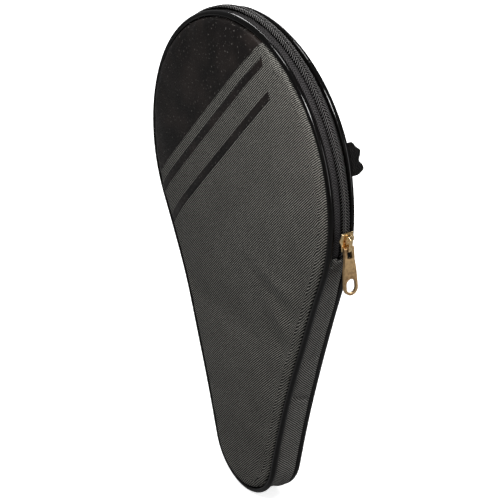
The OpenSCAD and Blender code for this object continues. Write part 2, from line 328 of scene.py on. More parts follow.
def flat_panel(spacing):
    """The panel's flat mesh: rings along its edge and an even net of triangles inside.
    Returns the points (x, z), their depth in from the edge, and the faces."""
    count = int(RIM_LENGTH / spacing)
    point, outward = rim(around_rim(count))
    rings = [point + outward * (PANEL_EDGE - depth) for depth in EDGE_DEPTHS]
    last = len(rings) - 1
    faces = [(k * count + i, k * count + (i + 1) % count,
              (k + 1) * count + (i + 1) % count, (k + 1) * count + i)
             for k in range(last) for i in range(count)]
    row_gap = spacing * math.sqrt(3) / 2
    rows = np.arange(0, HEAD_Z + HEAD_R, row_gap)
    columns = np.arange(-HEAD_R, HEAD_R, spacing)
    net = np.array([(x + (k % 2) * spacing / 2, z) for k, z in enumerate(rows) for x in columns])
    gap = np.linalg.norm(net[:, None] - point[None], axis=2)
    nearest = gap.argmin(1)
    depth = PANEL_EDGE - ((net - point[nearest]) * outward[nearest]).sum(1)
    keep = depth > EDGE_DEPTHS[-1] + spacing * 0.7
    net, depth = net[keep], depth[keep]
    loose = [Vector(p) for p in np.concatenate([rings[last], net])]
    found = geometry.delaunay_2d_cdt(loose, [], [list(range(count))], 1, 1e-5)
    place = [last * count + sources[0] for sources in found[3]]
    faces += [tuple(place[i] for i in face) for face in found[2]]
    points = np.concatenate(rings + [net])
    depths = np.concatenate([np.repeat(EDGE_DEPTHS, count), depth])
    return points, depths, faces


def rolled_drop(depth):
    """How far the panel's face drops as it rolls over into the seam."""
    side = 1 - np.clip(depth / ROLL_W, 0, 1)
    return ROLL_H * (1 - np.sqrt(1 - side ** 2))


def faced(piece, side):
    """Turns an open sheet's faces to look out of the front (-1) or the back (+1)."""
    mean = sum(p.normal.y * p.area for p in piece.data.polygons)
    if mean * side < 0:
        piece.data.flip_normals()
    return piece


CLOTH = {"quality": 6, "mass": 0.2, "tension_stiffness": 18, "compression_stiffness": 18,
         "shear_stiffness": 8, "bending_stiffness": 0.6, "vertex_group_mass": "pinned",
         "use_pressure": True, "uniform_pressure_force": 2.0, "shrink_min": -0.012}
CLOTH_STEPS = 20
# No point of a cover moves further than this in the simulation
BULGE_CAP = 2.2


def inflate(piece, pinned):
    """Lets the sheet bulge as cloth under a light pressure, with its edge held in the seam."""
    start = points_of(piece)
    piece.vertex_groups.new(name="pinned").add(pinned, 1.0, "REPLACE")
    cloth = piece.modifiers.new("cloth", "CLOTH")
    for setting, value in CLOTH.items():
        setattr(cloth.settings, setting, value)
    cloth.settings.effector_weights.gravity = 0
    cloth.collision_settings.use_collision = False
    cloth.point_cache.frame_start = 1
    cloth.point_cache.frame_end = CLOTH_STEPS
    for step in range(1, CLOTH_STEPS + 1):
        scene.frame_set(step)
    graph = bpy.context.evaluated_depsgraph_get()
    moved = np.array([v.co for v in piece.evaluated_get(graph).data.vertices]) / MM
    piece.modifiers.clear()
    piece.vertex_groups.clear()
    scene.frame_set(1)
    shift = moved - start
    length = np.linalg.norm(shift, axis=1, keepdims=True) + 1e-9
    move_points(piece, start + shift * (BULGE_CAP * np.tanh(length / BULGE_CAP) / length))


def evened(piece, rounds):
    """Evens out small bumps: each inner point moves to the mean of its neighbours."""
    points = points_of(piece)
    edges = np.array([e.vertices for e in piece.data.edges])
    count = np.bincount(edges.ravel(), minlength=len(points))[:, None]
    inner = count[:, 0] > 4
    for _ in range(rounds):
        total = np.zeros_like(points)
        np.add.at(total, edges[:, 0], points[edges[:, 1]])
        np.add.at(total, edges[:, 1], points[edges[:, 0]])
        points[inner, 1] = (0.5 * points + 0.5 * total / count)[inner, 1]
    move_points(piece, points)


# Soft slanted folds of the front: place x and z, slope in degrees, length, width and height
FRONT_FOLDS = ((44, 151, -20, 24, 4.0, 1.2), (42, 141, -24, 22, 4.0, -1.2),
               (48, 124, -50, 18, 4.0, 1.2), (41, 114, -52, 18, 4.0, -1.2),
               (60, 190, -62, 26, 4.5, 0.8), (30, 90, -58, 20, 4.0, -0.7))


def soft_folds(x, z):
    """The height of the front's folds at places on the panel."""
    height = np.zeros_like(x)
    for fold_x, fold_z, slope, long, wide, high in FRONT_FOLDS:
        run, rise = math.cos(math.radians(slope)), math.sin(math.radians(slope))
        along = (x - fold_x) * run + (z - fold_z) * rise
        across = (z - fold_z) * run - (x - fold_x) * rise
        height += high * np.exp(-(along / long) ** 2 - (across / wide) ** 2)
    return height


def flat_weave(points):
    """The places on the cloth of a flat panel's points."""
    return np.pad(points, ((0, 0), (0, 1)))


def cover_sheet(name, side):
    """The outer fabric of one panel as an open sheet, out to its final shape."""
    points, depth, faces = flat_panel(COVER_SPACING)
    y = side * (FACE_Y - rolled_drop(depth)) + side * CROWN_H * smooth_step((depth - 2) / CROWN_W)
    sheet = np.stack([points[:, 0], y, points[:, 1]], 1)
    piece = faced(mesh_object(name, squeeze(sheet), faces, flat_weave(points)), side)
    inflate(piece, np.flatnonzero(depth < 1.0).tolist())
    evened(piece, 6)
    loose = smooth_step(depth / 14)
    ripple = 0.26 * soft_noise(sheet, 30, side) + 0.03 * soft_noise(sheet, 12, 3 + side)
    if side < 0:
        ripple = ripple + soft_folds(sheet[:, 0], sheet[:, 2])
    shaped = points_of(piece)
    shaped[:, 1] += side * ripple * loose
    move_points(piece, shaped)
    return piece


def foam_block(name, cover, side):
    """Foam that fills the space between a cover sheet and the lining."""
    count = int(RIM_LENGTH / COVER_SPACING)
    top = points_of(cover)
    top[:, 1] -= side * (FABRIC_T + 0.1)
    bottom = squeeze(np.stack([top[:, 0], np.full(len(top), side * FOAM_IN_Y), top[:, 2]], 1))
    faces = [tuple(p.vertices) for p in cover.data.polygons]
    size = len(top)
    faces += [tuple(size + i for i in reversed(face)) for face in faces]
    faces += [(i, (i + 1) % count, size + (i + 1) % count, size + i) for i in range(count)]
    return outward_normals(mesh_object(name, np.concatenate([top, bottom]), faces))


def lining_sheet(name, side):
    """The thin lining inside a panel, with the loose wrinkles of its light cloth."""
    points, depth, faces = flat_panel(LINING_SPACING)
    flat = np.stack([points[:, 0], np.full(len(points), side * (FOAM_IN_Y - 0.05)), points[:, 1]], 1)
    loose = smooth_step((depth - 3) / 16)
    wrinkle = 1.3 * np.abs(soft_noise(flat * [1, 1, 0.4], 17, 5 + side)) + 0.1
    flat[:, 1] -= side * wrinkle * loose
    piece = faced(mesh_object(name, squeeze(flat), faces, flat_weave(points)), side)
    return thickened(subdivided(piece), LINING_T)


# -------- print on the front

# The slant of the twill's ribs on the panels; the print's edges run along them
TWILL_LEAN = 1.05
PRINT_AT = Vector((-15.8, 0, HEAD_Z + 0.6))
PRINT_SLOPE = math.atan(1 / TWILL_LEAN)
PRINT_SIDE_AT = Vector((39.5, 0, HEAD_Z + 61.0))
PRINT_SIDE_SLOPE = math.radians(113.0)
# Bands of print, as distances up from the slanted edge; fabric shows between them
PRINT_BANDS = ((0.0, 4.5), (17.0, 21.5), (28.0, 400.0))
PRINT_LIFT = 0.07
PRINT_T = 0.05


def print_band(name, cover, low, high):
    """A thin film of print that lies on the cover, cut to one slanted band."""
    up = Vector((-math.sin(PRINT_SLOPE), 0, math.cos(PRINT_SLOPE)))
    left = Vector((-math.sin(PRINT_SIDE_SLOPE), 0, math.cos(PRINT_SIDE_SLOPE)))
    cuts = ((PRINT_AT + up * low, -up), (PRINT_AT + up * high, up), (PRINT_SIDE_AT, -left))
    mesh = bmesh.new()
    mesh.from_mesh(cover.data)
    for place, away in cuts:
        bmesh.ops.bisect_plane(mesh, geom=mesh.verts[:] + mesh.edges[:] + mesh.faces[:],
                               plane_co=place * MM, plane_no=away, clear_outer=True)
    mesh.normal_update()
    for vertex in mesh.verts:
        vertex.co += vertex.normal * PRINT_LIFT * MM
    film = bpy.data.meshes.new(name)
    mesh.to_mesh(film)
    mesh.free()
    return thickened(linked(name, film), PRINT_T)


# -------- seams, band and zip

def round_section(radius, offset, depth, sides):
    angle = circle(sides)
    return np.stack([offset + radius * np.cos(angle), depth + radius * np.sin(angle)], 1)


def piping(name, side):
    """The piping's sleeve, slightly puckered where its stitches pull it."""
    s = around_rim(496)
    pull = 1 + 0.012 * waves_around(s, 150)
    drift = 1 + 0.02 * waves_around(s, 9)
    section = round_section(1.0, 0, 0, 18)[None] * (PIPING_R * pull * drift * 0.985)[:, None, None]
    section = section + [0, side * SEAM_Y]
    return rim_sweep(name, s, section, ring_path=True)


def piping_cord(name, side):
    section = round_section(CORD_R, 0, side * SEAM_Y, 10)
    return rim_sweep(name, around_rim(240), section, ring_path=True)


def seam_binding(name, side):
    """A folded tape over the raw edges of a seam, inside the case."""
    s = around_rim(300)
    outer, inner, y0, y1 = -2.1, -6.0, 5.3, 6.2
    profile = np.array([(outer, y0 + 0.25), (outer - 0.2, y0), (-4, y0 - 0.05), (inner + 0.3, y0 + 0.05),
                        (inner, (y0 + y1) / 2), (inner + 0.3, y1), (-4, y1), (outer, y1)])
    wave = 0.12 * waves_around(s, 61)
    section = (profile * [1, side])[None] + np.stack([wave, np.zeros(len(s))], 1)[:, None]
    return rim_sweep(name, s, section, ring_path=True)


BAND_EDGE_Y = 6.3
# How far the band stands out beside the back piping
BAND_BULGE = 1.9
# The band's folds: height on the case, slant, depth and width
BAND_FOLDS = ((106, 0.45, 1.2, 1.8), (77, -0.35, 1.7, 1.6), (90, 0.3, -0.7, 6.0),
              (128, -0.7, 0.5, 2.4), (147, 0.4, 0.6, 3.0))
HEM_L = 9.0
HEM_T = 0.5
# Where a hem's row of stitches runs, in from the band's end
HEM_ROW = 5.6
STITCH_L = 1.15
STITCH_R = 0.2


def side_band():
    """The side band: soft edges in the seams, folds near the handle end, hems at the zip."""
    start, end = ZIP_END, RIM_LENGTH + ZIP_START
    s = np.linspace(start + 0.2, end - 0.2, 420)
    y = np.linspace(-BAND_EDGE_Y, BAND_EDGE_Y, 17)
    grid_s, grid_y = np.meshgrid(s, y, indexing="ij")
    height = 0.25 - 1.6 * np.abs(grid_y / BAND_EDGE_Y) ** 6
    below_zip = smooth_step(np.minimum(grid_s - start - 12, end - 12 - grid_s) / 25)
    height += below_zip * BAND_BULGE * smooth_step((grid_y / BAND_EDGE_Y - 0.1) / 0.75)
    inside = 1 - np.abs(grid_y / BAND_EDGE_Y) ** 4
    places = np.stack([grid_s, grid_y * 1.6, np.zeros_like(grid_s)], 2)
    height += inside * 0.42 * soft_noise(places, 13, 2).reshape(height.shape)
    mirror_s = ZIP_END + RIM_LENGTH + ZIP_START
    for level, slant, deep, wide in BAND_FOLDS:
        place = right_flank_s(level)
        for centre in (place, mirror_s - place):
            near = (grid_s - centre - slant * grid_y) / wide
            height -= inside * deep * np.exp(-near ** 2)
    to_end = np.minimum(grid_s - start, end - grid_s)
    height += inside * HEM_T * smooth_step((HEM_L - to_end) / 0.9)
    height += 2.3 * np.exp(-((grid_y - ZIP_Y) / 3.1) ** 2) * smooth_step(1 - to_end / HEM_L)
    height -= 0.5 * smooth_step(1 - to_end / 0.8)
    outer = np.stack([height, grid_y], 2)
    inner = np.stack([np.minimum(height, 0.6) - 1.15, grid_y * 0.985], 2)[:, ::-1]
    return rim_sweep("side_band_cloth", s, np.concatenate([outer, inner], 1))


def side_band_lining():
    s = np.linspace(ZIP_END + 1, RIM_LENGTH + ZIP_START - 1, 260)
    y = np.linspace(-5.5, 5.5, 7)
    outer = np.stack([np.full(7, -3.0), y], 1)
    inner = np.stack([np.full(7, -3.0 - LINING_T), y], 1)[::-1]
    return rim_sweep("side_band_inner", s, np.concatenate([outer, inner]))


TAPE_T = 0.7
# How far a tape runs on under the side band, and where its two edges lie
TAPE_UNDER = 4.0
TAPE_SEAM_Y = 6.1
TAPE_COIL_Y = 0.85


def zip_tape(name, side):
    """One zip tape: tucked under the piping on one side, rising to the coil on the other."""
    s = np.linspace(ZIP_START - TAPE_UNDER, ZIP_END + TAPE_UNDER, 500)
    share = np.array([0, 0.1, 0.2, 0.35, 0.55, 0.75, 0.86, 0.93, 1.0])
    lift = np.array([-1.3, -0.5, 0.0, 0.35, 0.7, 1.0, 1.15, 1.2, 1.1]) * ZIP_LIFT / 1.2
    y_seam, y_coil = side * TAPE_SEAM_Y, ZIP_Y + side * TAPE_COIL_Y
    y = y_seam + share * (y_coil - y_seam)
    outer = np.stack([lift, y], 1)
    inner = np.stack([lift - TAPE_T, y], 1)[::-1]
    section = np.repeat(np.concatenate([outer, inner])[None], len(s), 0)
    past = np.maximum(ZIP_START - s, s - ZIP_END)
    section[:, :, 0] -= 1.1 * smooth_step((past + 1.5) / 2.5)[:, None]
    wave = 0.08 * soft_noise(np.stack([s, s * 0, s * 0], 1), 9, 4)
    section[:, :, 0] += wave[:, None]
    return rim_sweep(name, s, section)


COIL_PITCH = 1.66
COIL_R = HEAD_R + 1
COIL_PITCH_ANGLE = COIL_PITCH / COIL_R
# How far the coil's ends stay from the ends of the zip, as an angle
COIL_INSET = 0.006
COIL_WIRE_R = 0.36
COIL_SLANT = 0.85
COIL_EDGE = 2.72
COIL_CROSS = 0.42
COIL_TOP = 1.86
COIL_LOW = 0.36
TURN_POINTS = 14
THREAD_R = 0.17
# The line of a turn's back: how far it slants, and where along the zip it passes the middle
CREST_SLANT = COIL_SLANT + COIL_PITCH / (COIL_EDGE + COIL_CROSS) / 2
CREST_AT = COIL_SLANT * COIL_CROSS + CREST_SLANT * (COIL_EDGE - COIL_CROSS) / 2


def head_point(radius, angle, y):
    return np.stack([radius * np.cos(angle), y, HEAD_Z + radius * np.sin(angle)], -1)


def along_head(angle):
    return np.stack([-np.sin(angle), np.zeros_like(angle), np.cos(angle)], -1)


def coil(name, side):
    """Half of the zip's nylon coil: slanted turns whose heads mesh with the other half's."""
    turns = int((math.pi + 2 * ZIP_ANGLE - 2 * COIL_INSET) / COIL_PITCH_ANGLE)
    phase = np.arange(turns * TURN_POINTS + 1) / TURN_POINTS
    around = phase * 2 * math.pi
    reach = (COIL_EDGE + COIL_CROSS) / 2
    across = COIL_EDGE - reach + reach * np.cos(around)
    height = (COIL_TOP + COIL_LOW) / 2 + (COIL_TOP - COIL_LOW) / 2 * np.sin(around)
    ahead = (phase + (0.5 if side > 0 else 0.0)) * COIL_PITCH - COIL_SLANT * (across - reach)
    angle = -ZIP_ANGLE + COIL_INSET + ahead / COIL_R
    taper = np.clip(np.minimum(phase, turns - phase) / 3 + 0.25, 0, 1)
    path = head_point(ZIP_R + height * taper, angle, ZIP_Y + side * across)
    return tube(name, path, along_head(angle), COIL_WIRE_R, 7)


def coil_thread(name, side):
    """The sewing thread that holds a coil half to its tape, dipping between the turns."""
    angle = np.arange(-ZIP_ANGLE + 0.01, math.pi + ZIP_ANGLE - 0.01, COIL_PITCH_ANGLE / 5)
    dip = np.cos((angle + ZIP_ANGLE) / COIL_PITCH_ANGLE * 2 * math.pi)
    path = head_point(ZIP_R + COIL_TOP + 0.16 + THREAD_R * dip, angle,
                      ZIP_Y + side * (1.75 + 0.05 * dip))
    return tube(name, path, [0, 1.0, 0], THREAD_R, 6)


def hem_stitches():
    """A row of raised stitches across each hem of the side band; each is a small bowed tube."""
    stitches = []
    share = np.linspace(-0.5, 0.5, 7)[:, None]
    for row_s in (ZIP_START - HEM_ROW, ZIP_END + HEM_ROW):
        point, outward = rim([row_s])
        out = np.array([outward[0, 0], 0, outward[0, 1]])
        for y in np.arange(-4.4, 4.5, 1.75):
            bulge = 0.38 + 0.18 * math.exp(-((y - ZIP_Y) / 2.9) ** 2)
            centre = np.array([point[0, 0], y, point[0, 1]]) + out * bulge
            bow = out * (0.25 - share ** 2) * STITCH_R * 4
            path = centre + np.array([0, STITCH_L, 0]) * share + bow
            stitches.append(tube("hem_stitching_part", path, [0.2, 0.1, 1.0], STITCH_R, 6))
    return joined("hem_stitching", stitches)


# -------- slider and hang loop

def head_axes(turn):
    """The directions out of the head and along its rim, at a turn of the head."""
    return np.array([[math.cos(turn), 0, math.sin(turn)], [-math.sin(turn), 0, math.cos(turn)]])


def beside_head(local, turn, depth=0.0):
    """Local radius, depth and place along the rim, at a turn of the head, into the frame."""
    local = np.asarray(local, float)
    out, along = head_axes(turn)
    return (np.array([0, depth, HEAD_Z]) + local[..., :1] * out
            + local[..., 1:2] * np.array([0, 1.0, 0]) + local[..., 2:] * along)


def closed_curve(corners, count):
    """A smooth closed curve through a few corners."""
    corners = np.asarray(corners, float)
    size = len(corners)
    out = []
    for k in np.arange(count) * size / count:
        i, t = int(k), k - int(k)
        p = [corners[(i + j) % size] for j in (-1, 0, 1, 2)]
        out.append(0.5 * (2 * p[1] + (p[2] - p[0]) * t
                          + (2 * p[0] - 5 * p[1] + 4 * p[2] - p[3]) * t ** 2
                          + (3 * p[1] - 3 * p[2] + p[3] - p[0]) * t ** 3))
    return np.array(out)


def stacked_plate(name, outline, base, layers):
    """A plate from layers of one outline, each at a height over the base and with its own scale."""
    centre = outline.mean(0)
    grid = [np.concatenate([np.full((len(outline), 1), base + height),
                            centre + (outline - centre) * scale], 1) for height, scale in layers]
    grid = beside_head(np.array(grid), SLIDER_ANGLE, ZIP_Y)
    return grid_piece(name, grid, grid)


SLIDER_HALF_L = 5.5
SLIDER_HALF_W = 4.75
# The under faces of the slider's outer and inner plates, from the head's centre
OUTER_PLATE_R = ZIP_R + 2.6
PLATE_GAP = 6.1
INNER_PLATE_R = OUTER_PLATE_R - PLATE_GAP
# The arch: its feet along the zip, its rise, the radius of its bends and its half section
ARCH_FEET = (-4.6, 4.0)
ARCH_RISE = 4.18
ARCH_BEND = 1.5
ARCH_HALF = (1.15, 0.56)


def slider_plates():
    """The waisted outer plate, the plate inside the zip, and the post between them."""
    right = [(0.5, -1), (0.66, -0.88), (0.76, -0.3), (0.95, 0.08), (1, 0.26), (0.95, 0.42),
             (0.84, 0.6), (0.8, 0.86), (0.62, 1)]
    corners = [(w * SLIDER_HALF_W, h * SLIDER_HALF_L) for w, h in right]
    corners += [(-w * SLIDER_HALF_W, h * SLIDER_HALF_L) for w, h in reversed(right)]
    top = [(0, 1.0), (0.75, 1.0), (1.1, 0.95), (1.27, 0.84), (1.36, 0.5)]
    outer = stacked_plate("outer_plate", closed_curve(corners, 90), OUTER_PLATE_R, top)
    box = closed_curve([(2.9, -5.0), (3.2, 0), (2.9, 5.0), (1.6, 5.5), (-1.6, 5.5), (-2.9, 5.0),
                        (-3.2, 0), (-2.9, -5.0), (-1.6, -5.5), (1.6, -5.5)], 60)
    layers = [(0, 0.9), (0.2, 1.0), (0.7, 1.0), (0.9, 0.94)]
    inner = stacked_plate("inner_plate", box, INNER_PLATE_R, layers)
    wedge = closed_curve([(0.7, -1), (0.7, 4.4), (0, 4.7), (-0.7, 4.4), (-0.7, -1), (0, -1.3)], 30)
    post = stacked_plate("post", wedge, INNER_PLATE_R, [(0.5, 1.0), (PLATE_GAP + 0.7, 1.0)])
    return [outer, inner, post]


def slider_arch():
    """The arch over the puller's crossbar: a flat bar with rounded edges, bent twice."""
    (low, high), bend = ARCH_FEET, ARCH_BEND
    inside = OUTER_PLATE_R + ARCH_RISE - bend
    turn = np.linspace(0, math.pi / 2, 7)
    path = [(OUTER_PLATE_R + 0.7, low), (OUTER_PLATE_R + 2.0, low)]
    path += [(inside + bend * math.sin(a), low + bend - bend * math.cos(a)) for a in turn]
    path += [(inside + bend * math.cos(a), high - bend + bend * math.sin(a)) for a in turn]
    path = np.array(path + [(OUTER_PLATE_R + 2.0, high), (OUTER_PLATE_R + 0.7, high)])
    run = np.gradient(path, axis=0)
    run /= np.linalg.norm(run, axis=1, keepdims=True)
    across = np.stack([run[:, 1], -run[:, 0]], 1)
    angle = circle(16)
    round_off = (np.abs(np.cos(angle)) ** 4 + np.abs(np.sin(angle)) ** 4) ** -0.25
    wide, thick = ARCH_HALF[0] * round_off * np.cos(angle), ARCH_HALF[1] * round_off * np.sin(angle)
    grid = np.stack([path[:, None, 0] + across[:, None, 0] * thick,
                     np.broadcast_to(wide, (len(path), len(angle))),
                     path[:, None, 1] + across[:, None, 1] * thick], 2)
    grid = beside_head(grid, SLIDER_ANGLE, ZIP_Y)
    return grid_piece("arch", grid, grid)


def slider_piece():
    """The slider as one casting: its plates, post and arch fused, with softened edges."""
    piece = joined("slider_casting", slider_plates() + [slider_arch()])
    fuse = piece.modifiers.new("fuse", "REMESH")
    fuse.mode = "VOXEL"
    fuse.voxel_size = 0.16 * MM
    fuse.use_smooth_shade = True
    soften = piece.modifiers.new("soften", "SMOOTH")
    soften.factor = 0.5
    soften.iterations = 3
    return apply_modifiers(piece)


LOOP_ANGLE = math.radians(19)
LOOP_W = 18.0
LOOP_T = 0.9
# How far behind the seam's piping the webbing comes free
LOOP_ROOT = 1.7
# How far the crumpled loop reaches, along its width from the low end to the high end
LOOP_REACH = ((-9, 0.34), (-7.4, 0.56), (-5.6, 0.66), (-3.6, 0.64), (-1.8, 0.55), (0.0, 0.52),
              (1.8, 0.60), (3.6, 0.66), (5.4, 0.58), (7.2, 0.44), (9, 0.28))


def hang_loop():
    """A short loop of webbing, crumpled, both ends sewn into the back seam."""
    side_view = closed_curve([(0.5, 4.9), (0.9, 7.6), (-0.5, 10.6), (-2.0, 8.6), (-2.0, 5.1),
                              (-1.5, 2.4), (-2.1, 0.0), (-1.7, -0.5), (-0.8, -0.1), (-0.35, 2.4)], 46)
    seam_back = float(seam_depth(HEAD_Z + HEAD_R * math.sin(LOOP_ANGLE), 1)) + PIPING_R
    side_view[:, 1] += seam_back
    root_y = seam_back + LOOP_ROOT
    past_root = side_view[:, 1] - root_y
    free = np.clip(past_root / past_root.max(), 0, 1)
    along = np.linspace(-LOOP_W / 2, LOOP_W / 2, 30)
    reach = np.interp(along, *np.array(LOOP_REACH).T)
    grid = []
    for t, r in zip(along, reach):
        y = np.where(past_root > 0, root_y + past_root * r, side_view[:, 1])
        sway = free * (0.8 * math.sin(t * 0.7) + 0.25 * math.sin(t * 1.6 + 1))
        drawn_in = (side_view[:, 0] + 0.6) * (0.75 + 0.25 * r) - 0.6
        offset = np.where(free > 0, drawn_in, side_view[:, 0]) + sway
        grid.append(np.stack([HEAD_R + offset, y, t * (1 - 0.08 * free)], 1))
    world = beside_head(grid, LOOP_ANGLE)
    step = np.linalg.norm(np.diff(side_view, axis=0, prepend=side_view[:1]), axis=1).cumsum()
    weave = np.stack(np.broadcast_arrays(step, along[:, None], 0.0), 2)
    piece = mesh_object("hang_loop_webbing", world, net_faces(*world.shape[:2]), weave)
    outward_normals(piece)
    return thickened(subdivided(crumpled(piece)), LOOP_T)


def crumpled(piece):
    """Dents the free part of the loop outwards and along the rim."""
    points = points_of(piece)
    out, along = head_axes(LOOP_ANGLE)
    free = smooth_step((points[:, 1] - SEAM_Y - 4) / 4)
    dents = soft_noise(points, 4.2, 8)[:, None] * out * 0.5
    dents += soft_noise(points, 4.0, 12)[:, None] * along * 0.4
    move_points(piece, points + dents * free[:, None])
    return piece


# -------- materials

class Paint:
    """A node material under construction: each method adds a node and returns its output."""

    def __init__(self, name):
        self.material = bpy.data.materials.new(name)
        self.material.use_nodes = True
        self.tree = self.material.node_tree
        self.shader = self.tree.nodes["Principled BSDF"]

    def feed(self, socket, value):
        """Links a node's output to a socket, or sets its value; a colour gets its alpha."""
        if isinstance(value, bpy.types.NodeSocket):
            self.tree.links.new(value, socket)
        else:
            socket.default_value = value + (1.0,) if socket.type == "RGBA" else value

    def node(self, kind, inputs=(), **settings):
        node = self.tree.nodes.new(kind)
        for key, value in settings.items():
            setattr(node, key, value)
        for key, value in dict(inputs).items():
            self.feed(node.inputs[key], value)
        return node

    def math(self, operation, a, b=0.0, clamp=False):
        return self.node("ShaderNodeMath", {0: a, 1: b}, operation=operation, use_clamp=clamp).outputs[0]

    def plus(self, a, b):
        return self.math("ADD", a, b)

    def minus(self, a, b):
        return self.math("SUBTRACT", a, b)

    def times(self, a, b):
        return self.math("MULTIPLY", a, b)

    def mix(self, share, a, b, blend="MIX"):
        return self.node("ShaderNodeMix", {0: share, 6: a, 7: b}, data_type="RGBA",
                         blend_type=blend).outputs[2]

    def scaled(self, vector, scale):
        return self.node("ShaderNodeVectorMath", {0: vector, 1: scale}, operation="MULTIPLY").outputs[0]

    def range(self, value, low, high, to_low=0.0, to_high=1.0):
        return self.node("ShaderNodeMapRange", {0: value, 1: low, 2: high, 3: to_low, 4: to_high},
                         interpolation_type="SMOOTHSTEP").outputs[0]

    def noise(self, vector, scale, detail=2.0):
        inputs = {"Vector": vector, "Scale": scale, "Detail": detail}
        return self.node("ShaderNodeTexNoise", inputs).outputs["Fac"]

    def weave(self):
        """The place on the cloth in millimetres, as a vector and as its two parts."""
        vector = self.node("ShaderNodeAttribute", attribute_name="weave").outputs["Vector"]
        parts = self.node("ShaderNodeSeparateXYZ", {0: vector}).outputs
        return vector, parts[0], parts[1]

    def place(self):
        """The place on the piece in millimetres."""
        return self.scaled(self.node("ShaderNodeTexCoord").outputs["Object"], (1 / MM,) * 3)

    def wave(self, value, pitch):
        """A wave from 0 to 1 that repeats every pitch."""
        sine = self.math("SINE", self.times(value, 2 * math.pi / pitch))
        return self.plus(self.times(sine, 0.5), 0.5)

    def bump(self, height, strength, distance):
        return self.node("ShaderNodeBump", {"Height": height, "Strength": strength,
                                            "Distance": distance * MM}).outputs[0]

    def finish(self, **inputs):
        for key, value in inputs.items():
            self.feed(self.shader.inputs[key.replace("_", " ")], value)
        return self.material


def grey(level):
    return (level,) * 3


def twill(name, dark, light, pitch, lean, rough=0.85, gloss=0.12):
    """Twill cloth: fine slanted ribs of lighter thread, each broken into single floats."""
    paint = Paint(name)
    vector, u, v = paint.weave()
    wobble = paint.times(paint.minus(paint.noise(vector, 0.35), 0.5), 0.5)
    diagonal = paint.plus(paint.minus(u, paint.times(v, lean)), wobble)
    ribs = paint.range(paint.wave(diagonal, pitch * math.sqrt(2)), 0.46, 0.92)
    floats = paint.wave(paint.plus(u, paint.times(v, lean)), pitch * 1.9)
    thread = paint.times(ribs, paint.range(floats, 0.0, 0.55, 0.55, 1.0))
    mottle = paint.noise(vector, 0.045, 3.0)
    speckle = paint.noise(vector, 1.2, 1.0)
    share = paint.times(thread, paint.range(speckle, 0.25, 0.75, 0.6, 1.35))
    colour = paint.mix(share, dark, light)
    shade = paint.mix(paint.range(mottle, 0.3, 0.7), grey(0.92), grey(1.06))
    colour = paint.mix(1.0, colour, shade, "MULTIPLY")
    return paint.finish(Base_Color=colour, Roughness=rough, Specular_IOR_Level=gloss,
                        Sheen_Weight=0.03, Sheen_Roughness=0.5,
                        Normal=paint.bump(thread, 0.5, 0.12))


def printed(name):
    """Dull glossy print on the cloth: near black, mottled, with tiny light specks."""
    paint = Paint(name)
    vector, u, v = paint.weave()
    ribs = paint.wave(paint.minus(u, v), 1.3)
    mottle = paint.noise(vector, 0.04, 3.0)
    grain = paint.noise(vector, 1.1, 2.0)
    specks = paint.range(paint.noise(vector, 0.75, 0.0), 0.72, 0.78)
    colour = paint.mix(paint.range(mottle, 0.35, 0.7), (0.0035, 0.0027, 0.0024), (0.0150, 0.0112, 0.0098))
    colour = paint.mix(paint.times(specks, 0.45), colour, (0.16, 0.15, 0.14))
    rough = paint.range(grain, 0.3, 0.7, 0.42, 0.62)
    height = paint.plus(paint.times(ribs, 0.4), grain)
    return paint.finish(Base_Color=colour, Roughness=rough, Specular_IOR_Level=0.2,
                        Normal=paint.bump(height, 0.35, 0.08))


def ribbed(name, dark, light, pitch, across_pitch, ior=1.15):
    """Narrow woven tape: ribs across the tape, with a fine herringbone along it."""
    paint = Paint(name)
    vector, u, v = paint.weave()
    zigzag = paint.math("PINGPONG", v, across_pitch)
    ribs = paint.wave(paint.plus(u, zigzag), pitch)
    fine = paint.wave(v, 0.45)
    grain = paint.noise(vector, 0.9, 2.0)
    relief = paint.plus(paint.times(ribs, 0.75), paint.times(fine, 0.25))
    share = paint.times(relief, paint.range(grain, 0.2, 0.7, 0.5, 1.1))
    colour = paint.mix(share, dark, light)
    return paint.finish(Base_Color=colour, Roughness=0.7, Specular_IOR_Level=0.15, IOR=ior,
                        Normal=paint.bump(share, 0.8, 0.2))


def vinyl(name, colour_low, colour_high, rough_low, rough_high, gloss):
    """Smooth coated cloth over a cord: soft gloss with a slight leather grain."""
    paint = Paint(name)
    place = paint.place()
    grain = paint.noise(place, 1.3, 3.0)
    drift = paint.noise(place, 0.05, 2.0)
    colour = paint.mix(drift, colour_low, colour_high)
    rough = paint.range(drift, 0.3, 0.7, rough_low, rough_high)
    return paint.finish(Base_Color=colour, Roughness=rough, Specular_IOR_Level=gloss,
                        Normal=paint.bump(grain, 0.25, 0.1))


def nylon(name, low, high, half_turn):
    """The coil's turns: near-black sides, partly the nylon's own black and partly painted shade low
    between the turns, and a painted highlight, a lighter colour, along the back of each turn.
    """
    paint = Paint(name)
    place, x, y = paint.weave()
    above = paint.minus(paint.node("ShaderNodeSeparateXYZ", {0: place}).outputs[2], HEAD_Z)
    radius = paint.math("SQRT", paint.plus(paint.times(x, x), paint.times(above, above)))
    along = paint.times(paint.math("ARCTAN2", above, x), COIL_R)
    beside = paint.math("ABSOLUTE", paint.minus(y, ZIP_Y))
    crest = paint.plus(along, paint.times(beside, CREST_SLANT))
    start = (ZIP_ANGLE - COIL_INSET) * COIL_R - CREST_AT - half_turn * COIL_PITCH
    crest = paint.plus(crest, start)
    # Painted highlight: the base colour turns lighter along the crest of each turn
    painted_glint = paint.range(paint.wave(crest, COIL_PITCH), 0.72, 1.0)
    # The painted highlight stays near the top of the coil; lower down the colour stays near-black, a
    # painted shade
    painted_glint = paint.times(painted_glint, paint.range(radius, ZIP_R + COIL_TOP - 0.7, ZIP_R + COIL_TOP))
    return paint.finish(Base_Color=paint.mix(painted_glint, low, high), Roughness=0.3, IOR=1.2,
                        Specular_IOR_Level=paint.times(painted_glint, 0.5))


